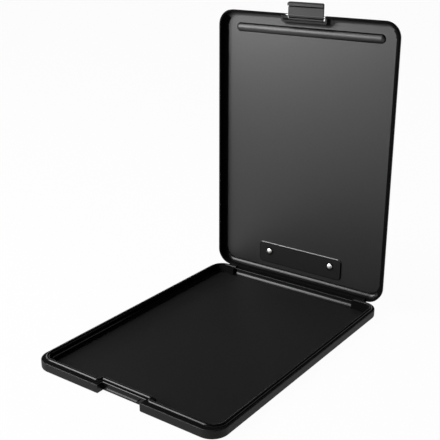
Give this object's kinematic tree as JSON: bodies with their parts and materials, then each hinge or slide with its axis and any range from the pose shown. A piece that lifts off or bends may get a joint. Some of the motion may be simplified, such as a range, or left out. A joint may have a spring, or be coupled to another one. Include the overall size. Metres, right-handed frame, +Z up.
{
  "type": "storage clipboard box",
  "caption": "Slim document box with a hinged lid that doubles as a clipboard: tray, lid with spring clip and pen groove, pinned hinge, flip latch.",
  "frame": {"origin": "middle of the whole part's footprint, lid standing open, on the plane that the tray rests on", "axes": "+X along the hinge axis, +Y from the tray's latch edge towards its hinge edge, +Z up"},
  "size_m": [0.24, 0.3564, 0.3591],
  "materials": {
    "shell": "black, fine matt texture with polished rims",
    "pin_steel": "bright drawn wire",
    "clip_plating": "bright nickel plate",
    "spring_steel": "spring wire",
    "pad_rubber": "matt",
    "washer_black": "black"
  },
  "bodies": {
    "tray": {"base_tray": "shell", "hinge_pin_left": "pin_steel", "hinge_pin_right": "pin_steel"},
    "lid": {"lid_shell": "shell", "latch_pin": "pin_steel", "clip_base_plate": "clip_plating", "clip_hinge_pin": "pin_steel", "clip_spring_left": "spring_steel", "clip_spring_right": "spring_steel", "clip_rivet_left": "clip_plating", "clip_rivet_right": "clip_plating", "rivet_washer_left": "washer_black", "rivet_washer_right": "washer_black"},
    "latch_flap": {"latch": "shell"},
    "jaw": {"clip_jaw": "clip_plating", "clip_pad_left": "pad_rubber", "clip_pad_right": "pad_rubber"}
  },
  "joints": [
    {"name": "lid_hinge", "type": "hinge", "parent": "tray", "child": "lid", "pos_m": [0, 0.1568, 0.0105], "axis": [1, 0, 0], "range_deg": [-50, 90]},
    {"name": "latch_pivot", "type": "hinge", "parent": "lid", "child": "latch_flap", "pos_m": [0, 0.1626, 0.3435], "axis": [1, 0, 0], "range_deg": [-90, 90]},
    {"name": "clip_jaw_pivot", "type": "hinge", "parent": "lid", "child": "jaw", "pos_m": [0, 0.1733, 0.0325], "axis": [-1, 0, 0], "range_deg": [0, 24], "stiffness_Nm_per_rad": 1.2, "springref_deg": -28.65, "deforming": ["clip_spring_left", "clip_spring_right"]}
  ]
}
